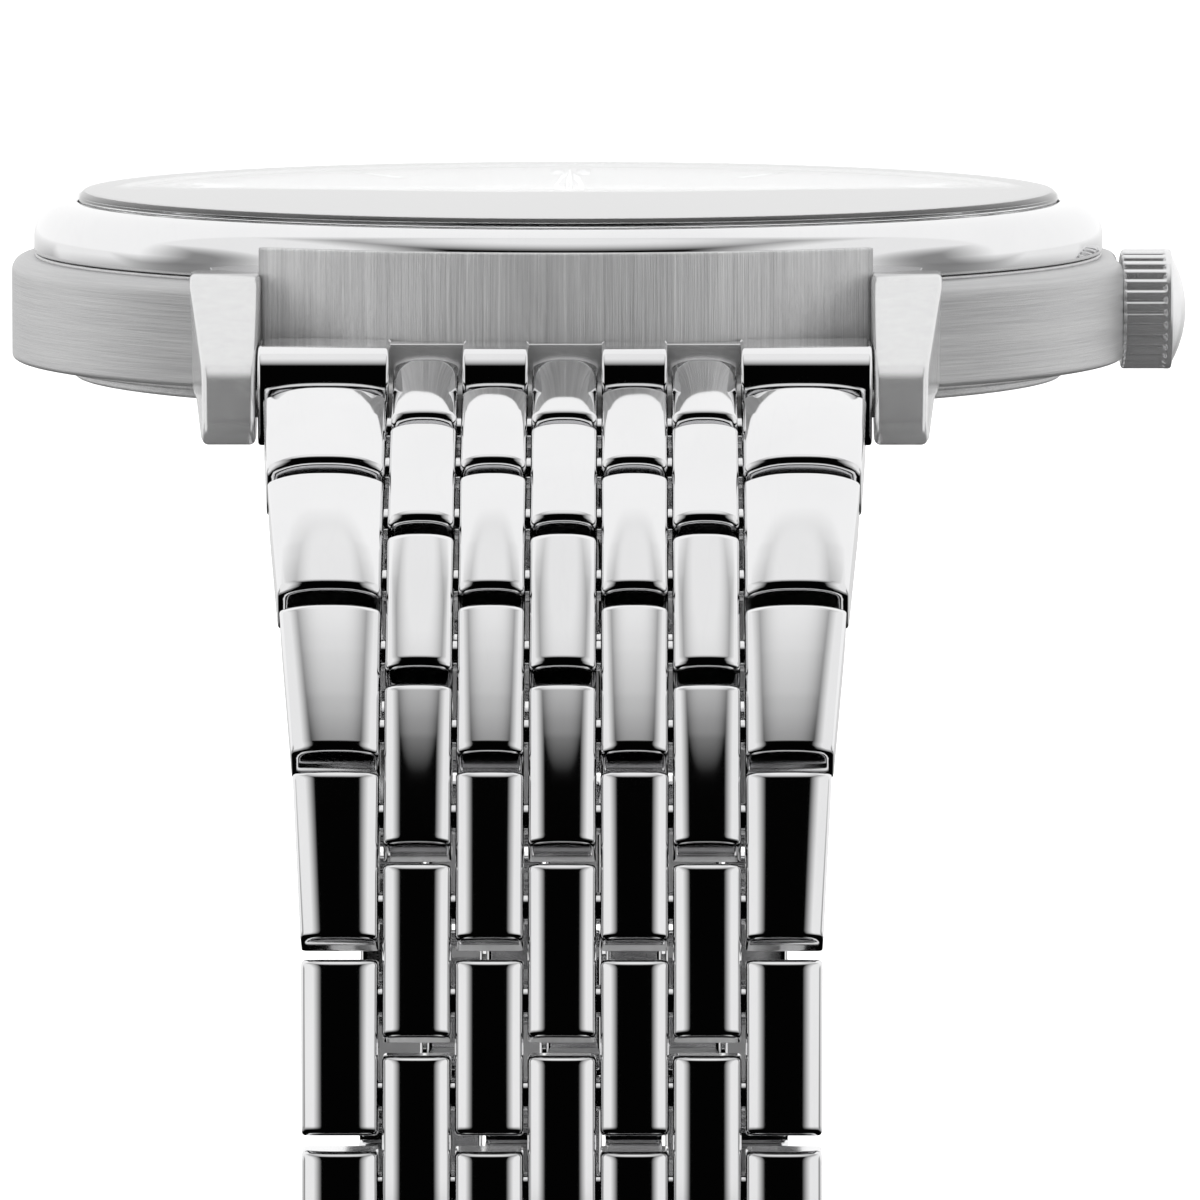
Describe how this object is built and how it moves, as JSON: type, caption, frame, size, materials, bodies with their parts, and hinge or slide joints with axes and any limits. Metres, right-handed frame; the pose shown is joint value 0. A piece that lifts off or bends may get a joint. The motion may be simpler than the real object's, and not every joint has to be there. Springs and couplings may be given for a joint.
{
  "type": "wristwatch",
  "caption": "Round steel wristwatch with a convex polished bezel, fluted crown and a tapering staggered-link bracelet closed by a folding clasp with push buttons.",
  "frame": {"origin": "centre of the case back's flat outer face, the face that lies on the wrist", "axes": "+Z out through the dial, +X towards the crown at 3 o'clock, -Y towards 6 o'clock"},
  "size_m": [0.0401, 0.0804, 0.0435],
  "materials": {
    "case_steel": "stainless steel, satin brushed on its flanks and polished on its lugs",
    "polished_steel": "mirror polished stainless steel",
    "clasp_steel": "stainless steel, brushed lengthwise with polished edges",
    "plain_steel": "plain turned steel",
    "crystal_glass": "clear flat mineral glass with a polished edge",
    "seal_rubber": "black seal rubber",
    "module_body": "matte moulded holder and plated module",
    "dial_paint": "silvered white dial with a fine sunray grain"
  },
  "bodies": {
    "case": {"middle_case": "case_steel", "bezel": "polished_steel", "crystal": "crystal_glass", "seals": "seal_rubber", "case_back": "case_steel", "movement": "module_body", "battery": "plain_steel", "dial": "dial_paint", "hour_markers": "polished_steel", "crown_tube": "plain_steel", "end_link_six": "polished_steel", "end_link_twelve": "polished_steel", "spring_bars": "plain_steel"},
    "hour_hand": {"hour_hand": "polished_steel"},
    "minute_hand": {"minute_hand": "polished_steel"},
    "second_hand": {"second_hand": "polished_steel"},
    "winding_pinion": {"winding_pinion": "plain_steel"},
    "crown": {"crown": "polished_steel", "winding_stem": "plain_steel"},
    "link_six_01": {"link_six_01": "polished_steel"},
    "link_six_02": {"link_six_02": "polished_steel"},
    "link_six_03": {"link_six_03": "polished_steel"},
    "link_six_04": {"link_six_04": "polished_steel"},
    "link_six_05": {"link_six_05": "polished_steel"},
    "link_six_06": {"link_six_06": "polished_steel"},
    "link_six_07": {"link_six_07": "polished_steel"},
    "link_six_08": {"link_six_08": "polished_steel"},
    "link_six_09": {"link_six_09": "polished_steel"},
    "link_six_10": {"link_six_10": "polished_steel"},
    "link_six_11": {"link_six_11": "polished_steel"},
    "link_six_12": {"link_six_12": "polished_steel"},
    "link_six_13": {"link_six_13": "polished_steel"},
    "link_six_14": {"link_six_14": "polished_steel"},
    "link_six_15": {"link_six_15": "polished_steel"},
    "link_six_16": {"link_six_16": "polished_steel"},
    "link_six_17": {"link_six_17": "polished_steel"},
    "link_six_18": {"link_six_18": "polished_steel"},
    "link_twelve_01": {"link_twelve_01": "polished_steel"},
    "link_twelve_02": {"link_twelve_02": "polished_steel"},
    "link_twelve_03": {"link_twelve_03": "polished_steel"},
    "link_twelve_04": {"link_twelve_04": "polished_steel"},
    "link_twelve_05": {"link_twelve_05": "polished_steel"},
    "link_twelve_06": {"link_twelve_06": "polished_steel"},
    "link_twelve_07": {"link_twelve_07": "polished_steel"},
    "link_twelve_08": {"link_twelve_08": "polished_steel"},
    "link_twelve_09": {"link_twelve_09": "polished_steel"},
    "link_twelve_10": {"link_twelve_10": "polished_steel"},
    "link_twelve_11": {"link_twelve_11": "polished_steel"},
    "link_twelve_12": {"link_twelve_12": "polished_steel"},
    "link_twelve_13": {"link_twelve_13": "polished_steel"},
    "link_twelve_14": {"link_twelve_14": "polished_steel"},
    "link_twelve_15": {"link_twelve_15": "polished_steel"},
    "link_twelve_16": {"link_twelve_16": "polished_steel"},
    "link_twelve_17": {"link_twelve_17": "polished_steel"},
    "link_twelve_18": {"link_twelve_18": "polished_steel"},
    "clasp_cover": {"clasp_cover": "clasp_steel"},
    "clasp_outer_blade": {"clasp_outer_blade": "clasp_steel"},
    "clasp_inner_blade": {"clasp_inner_blade": "clasp_steel"},
    "clasp_button_right": {"clasp_button_right": "polished_steel"},
    "clasp_button_left": {"clasp_button_left": "polished_steel"}
  },
  "joints": [
    {"name": "six_hinge_01", "type": "hinge", "parent": "case", "child": "link_six_01", "pos_m": [0, -0.0206, 0.00055], "axis": [-1, 0, 0], "range_deg": [0, 12]},
    {"name": "six_hinge_02", "type": "hinge", "parent": "link_six_01", "child": "link_six_02", "pos_m": [0, -0.02341, -0.00018], "axis": [-1, 0, 0], "range_deg": [0, 7.2]},
    {"name": "six_hinge_03", "type": "hinge", "parent": "link_six_02", "child": "link_six_03", "pos_m": [0, -0.02611, -0.00124], "axis": [-1, 0, 0], "range_deg": [0, 7.8]},
    {"name": "six_hinge_04", "type": "hinge", "parent": "link_six_03", "child": "link_six_04", "pos_m": [0, -0.02864, -0.00265], "axis": [-1, 0, 0], "range_deg": [0, 7.8]},
    {"name": "six_hinge_05", "type": "hinge", "parent": "link_six_04", "child": "link_six_05", "pos_m": [0, -0.03096, -0.00438], "axis": [-1, 0, 0], "range_deg": [0, 7.8]},
    {"name": "six_hinge_06", "type": "hinge", "parent": "link_six_05", "child": "link_six_06", "pos_m": [0, -0.03304, -0.00641], "axis": [-1, 0, 0], "range_deg": [0, 7.8]},
    {"name": "six_hinge_07", "type": "hinge", "parent": "link_six_06", "child": "link_six_07", "pos_m": [0, -0.03483, -0.00869], "axis": [-1, 0, 0], "range_deg": [0, 7.8]},
    {"name": "six_hinge_08", "type": "hinge", "parent": "link_six_07", "child": "link_six_08", "pos_m": [0, -0.0363, -0.01119], "axis": [-1, 0, 0], "range_deg": [0, 7.8]},
    {"name": "six_hinge_09", "type": "hinge", "parent": "link_six_08", "child": "link_six_09", "pos_m": [0, -0.03743, -0.01386], "axis": [-1, 0, 0], "range_deg": [0, 7.8]},
    {"name": "six_hinge_10", "type": "hinge", "parent": "link_six_09", "child": "link_six_10", "pos_m": [0, -0.0382, -0.01666], "axis": [-1, 0, 0], "range_deg": [0, 7.8]},
    {"name": "six_hinge_11", "type": "hinge", "parent": "link_six_10", "child": "link_six_11", "pos_m": [0, -0.03858, -0.01953], "axis": [-1, 0, 0], "range_deg": [0, 4.2]},
    {"name": "six_hinge_12", "type": "hinge", "parent": "link_six_11", "child": "link_six_12", "pos_m": [0, -0.03877, -0.02243], "axis": [-1, 0, 0], "range_deg": [0, 4.2]},
    {"name": "six_hinge_13", "type": "hinge", "parent": "link_six_12", "child": "link_six_13", "pos_m": [0, -0.03876, -0.02533], "axis": [-1, 0, 0], "range_deg": [0, 14.2]},
    {"name": "six_hinge_14", "type": "hinge", "parent": "link_six_13", "child": "link_six_14", "pos_m": [0, -0.03804, -0.02814], "axis": [-1, 0, 0], "range_deg": [0, 14.2]},
    {"name": "six_hinge_15", "type": "hinge", "parent": "link_six_14", "child": "link_six_15", "pos_m": [0, -0.03666, -0.03069], "axis": [-1, 0, 0], "range_deg": [0, 14.2]},
    {"name": "six_hinge_16", "type": "hinge", "parent": "link_six_15", "child": "link_six_16", "pos_m": [0, -0.03471, -0.03283], "axis": [-1, 0, 0], "range_deg": [0, 14.2]},
    {"name": "six_hinge_17", "type": "hinge", "parent": "link_six_16", "child": "link_six_17", "pos_m": [0, -0.0323, -0.03444], "axis": [-1, 0, 0], "range_deg": [0, 14.2]},
    {"name": "six_hinge_18", "type": "hinge", "parent": "link_six_17", "child": "link_six_18", "pos_m": [0, -0.02957, -0.03542], "axis": [-1, 0, 0], "range_deg": [0, 14.2]},
    {"name": "twelve_hinge_01", "type": "hinge", "parent": "case", "child": "link_twelve_01", "pos_m": [0, 0.0206, 0.00055], "axis": [1, 0, 0], "range_deg": [0, 12]},
    {"name": "twelve_hinge_02", "type": "hinge", "parent": "link_twelve_01", "child": "link_twelve_02", "pos_m": [0, 0.02341, -0.00018], "axis": [1, 0, 0], "range_deg": [0, 7.2]},
    {"name": "twelve_hinge_03", "type": "hinge", "parent": "link_twelve_02", "child": "link_twelve_03", "pos_m": [0, 0.02611, -0.00124], "axis": [1, 0, 0], "range_deg": [0, 7.8]},
    {"name": "twelve_hinge_04", "type": "hinge", "parent": "link_twelve_03", "child": "link_twelve_04", "pos_m": [0, 0.02864, -0.00265], "axis": [1, 0, 0], "range_deg": [0, 7.8]},
    {"name": "twelve_hinge_05", "type": "hinge", "parent": "link_twelve_04", "child": "link_twelve_05", "pos_m": [0, 0.03096, -0.00438], "axis": [1, 0, 0], "range_deg": [0, 7.8]},
    {"name": "twelve_hinge_06", "type": "hinge", "parent": "link_twelve_05", "child": "link_twelve_06", "pos_m": [0, 0.03304, -0.00641], "axis": [1, 0, 0], "range_deg": [0, 7.8]},
    {"name": "twelve_hinge_07", "type": "hinge", "parent": "link_twelve_06", "child": "link_twelve_07", "pos_m": [0, 0.03483, -0.00869], "axis": [1, 0, 0], "range_deg": [0, 7.8]},
    {"name": "twelve_hinge_08", "type": "hinge", "parent": "link_twelve_07", "child": "link_twelve_08", "pos_m": [0, 0.0363, -0.01119], "axis": [1, 0, 0], "range_deg": [0, 7.8]},
    {"name": "twelve_hinge_09", "type": "hinge", "parent": "link_twelve_08", "child": "link_twelve_09", "pos_m": [0, 0.03743, -0.01386], "axis": [1, 0, 0], "range_deg": [0, 7.8]},
    {"name": "twelve_hinge_10", "type": "hinge", "parent": "link_twelve_09", "child": "link_twelve_10", "pos_m": [0, 0.0382, -0.01666], "axis": [1, 0, 0], "range_deg": [0, 7.8]},
    {"name": "twelve_hinge_11", "type": "hinge", "parent": "link_twelve_10", "child": "link_twelve_11", "pos_m": [0, 0.03858, -0.01953], "axis": [1, 0, 0], "range_deg": [0, 4.2]},
    {"name": "twelve_hinge_12", "type": "hinge", "parent": "link_twelve_11", "child": "link_twelve_12", "pos_m": [0, 0.03877, -0.02243], "axis": [1, 0, 0], "range_deg": [0, 4.2]},
    {"name": "twelve_hinge_13", "type": "hinge", "parent": "link_twelve_12", "child": "link_twelve_13", "pos_m": [0, 0.03876, -0.02533], "axis": [1, 0, 0], "range_deg": [0, 14.2]},
    {"name": "twelve_hinge_14", "type": "hinge", "parent": "link_twelve_13", "child": "link_twelve_14", "pos_m": [0, 0.03804, -0.02814], "axis": [1, 0, 0], "range_deg": [0, 14.2]},
    {"name": "twelve_hinge_15", "type": "hinge", "parent": "link_twelve_14", "child": "link_twelve_15", "pos_m": [0, 0.03666, -0.03069], "axis": [1, 0, 0], "range_deg": [0, 14.2]},
    {"name": "twelve_hinge_16", "type": "hinge", "parent": "link_twelve_15", "child": "link_twelve_16", "pos_m": [0, 0.03471, -0.03283], "axis": [1, 0, 0], "range_deg": [0, 14.2]},
    {"name": "twelve_hinge_17", "type": "hinge", "parent": "link_twelve_16", "child": "link_twelve_17", "pos_m": [0, 0.0323, -0.03444], "axis": [1, 0, 0], "range_deg": [0, 14.2]},
    {"name": "twelve_hinge_18", "type": "hinge", "parent": "link_twelve_17", "child": "link_twelve_18", "pos_m": [0, 0.02957, -0.03542], "axis": [1, 0, 0], "range_deg": [0, 14.2]},
    {"name": "clasp_strand_pin", "type": "hinge", "parent": "link_six_18", "child": "clasp_inner_blade", "pos_m": [0, -0.02668, -0.03571], "axis": [-1, 0, 0], "range_deg": [0, 5.9]},
    {"name": "clasp_fold", "type": "hinge", "parent": "clasp_inner_blade", "child": "clasp_outer_blade", "pos_m": [0, 0.02068, -0.03538], "axis": [1, 0, 0], "range_deg": [0, 140]},
    {"name": "clasp_cover_fold", "type": "hinge", "parent": "clasp_outer_blade", "child": "clasp_cover", "pos_m": [0, -0.02348, -0.03586], "axis": [1, 0, 0], "range_deg": [-140.2, 0]},
    {"name": "button_right_push", "type": "slide", "parent": "clasp_cover", "child": "clasp_button_right", "axis": [-1, 0, 0], "range_m": [0, 0.0005], "stiffness_N_per_m": 300},
    {"name": "button_left_push", "type": "slide", "parent": "clasp_cover", "child": "clasp_button_left", "axis": [1, 0, 0], "range_m": [0, 0.0005], "stiffness_N_per_m": 300},
    {"name": "minute_hand_turn", "type": "hinge", "parent": "case", "child": "minute_hand", "pos_m": [0, 0, 0.0045], "axis": [0, 0, -1], "continuous": true},
    {"name": "hour_hand_turn", "type": "hinge", "parent": "case", "child": "hour_hand", "pos_m": [0, 0, 0.0043], "axis": [0, 0, -1], "continuous": true},
    {"name": "second_hand_turn", "type": "hinge", "parent": "case", "child": "second_hand", "pos_m": [0, 0, 0.0048], "axis": [0, 0, -1], "continuous": true},
    {"name": "crown_turn", "type": "hinge", "parent": "case", "child": "winding_pinion", "pos_m": [0.0104, 0, 0.0022], "axis": [1, 0, 0], "continuous": true},
    {"name": "crown_pull", "type": "slide", "parent": "winding_pinion", "child": "crown", "axis": [1, 0, 0], "range_m": [0, 0.001]}
  ],
  "couplings": [
    {"joint": "six_hinge_02", "follows": "six_hinge_01", "ratio": 0.58333},
    {"joint": "six_hinge_03", "follows": "six_hinge_01", "ratio": 0.63333},
    {"joint": "six_hinge_04", "follows": "six_hinge_01", "ratio": 0.63333},
    {"joint": "six_hinge_05", "follows": "six_hinge_01", "ratio": 0.63333},
    {"joint": "six_hinge_06", "follows": "six_hinge_01", "ratio": 0.63333},
    {"joint": "six_hinge_07", "follows": "six_hinge_01", "ratio": 0.63333},
    {"joint": "six_hinge_08", "follows": "six_hinge_01", "ratio": 0.63333},
    {"joint": "six_hinge_09", "follows": "six_hinge_01", "ratio": 0.63333},
    {"joint": "six_hinge_10", "follows": "six_hinge_01", "ratio": 0.63333},
    {"joint": "six_hinge_11", "follows": "six_hinge_01", "ratio": 0.33333},
    {"joint": "six_hinge_12", "follows": "six_hinge_01", "ratio": 0.33333},
    {"joint": "six_hinge_13", "follows": "six_hinge_01", "ratio": 1.1667},
    {"joint": "six_hinge_14", "follows": "six_hinge_01", "ratio": 1.1667},
    {"joint": "six_hinge_15", "follows": "six_hinge_01", "ratio": 1.1667},
    {"joint": "six_hinge_16", "follows": "six_hinge_01", "ratio": 1.1667},
    {"joint": "six_hinge_17", "follows": "six_hinge_01", "ratio": 1.1667},
    {"joint": "six_hinge_18", "follows": "six_hinge_01", "ratio": 1.1667},
    {"joint": "twelve_hinge_02", "follows": "twelve_hinge_01", "ratio": 0.58333},
    {"joint": "twelve_hinge_03", "follows": "twelve_hinge_01", "ratio": 0.63333},
    {"joint": "twelve_hinge_04", "follows": "twelve_hinge_01", "ratio": 0.63333},
    {"joint": "twelve_hinge_05", "follows": "twelve_hinge_01", "ratio": 0.63333},
    {"joint": "twelve_hinge_06", "follows": "twelve_hinge_01", "ratio": 0.63333},
    {"joint": "twelve_hinge_07", "follows": "twelve_hinge_01", "ratio": 0.63333},
    {"joint": "twelve_hinge_08", "follows": "twelve_hinge_01", "ratio": 0.63333},
    {"joint": "twelve_hinge_09", "follows": "twelve_hinge_01", "ratio": 0.63333},
    {"joint": "twelve_hinge_10", "follows": "twelve_hinge_01", "ratio": 0.63333},
    {"joint": "twelve_hinge_11", "follows": "twelve_hinge_01", "ratio": 0.33333},
    {"joint": "twelve_hinge_12", "follows": "twelve_hinge_01", "ratio": 0.33333},
    {"joint": "twelve_hinge_13", "follows": "twelve_hinge_01", "ratio": 1.1667},
    {"joint": "twelve_hinge_14", "follows": "twelve_hinge_01", "ratio": 1.1667},
    {"joint": "twelve_hinge_15", "follows": "twelve_hinge_01", "ratio": 1.1667},
    {"joint": "twelve_hinge_16", "follows": "twelve_hinge_01", "ratio": 1.1667},
    {"joint": "twelve_hinge_17", "follows": "twelve_hinge_01", "ratio": 1.1667},
    {"joint": "twelve_hinge_18", "follows": "twelve_hinge_01", "ratio": 1.1667},
    {"joint": "clasp_strand_pin", "follows": "six_hinge_01", "ratio": 0.475},
    {"joint": "clasp_cover_fold", "follows": "clasp_fold", "ratio": -1},
    {"joint": "hour_hand_turn", "follows": "minute_hand_turn", "ratio": 0.083333}
  ]
}
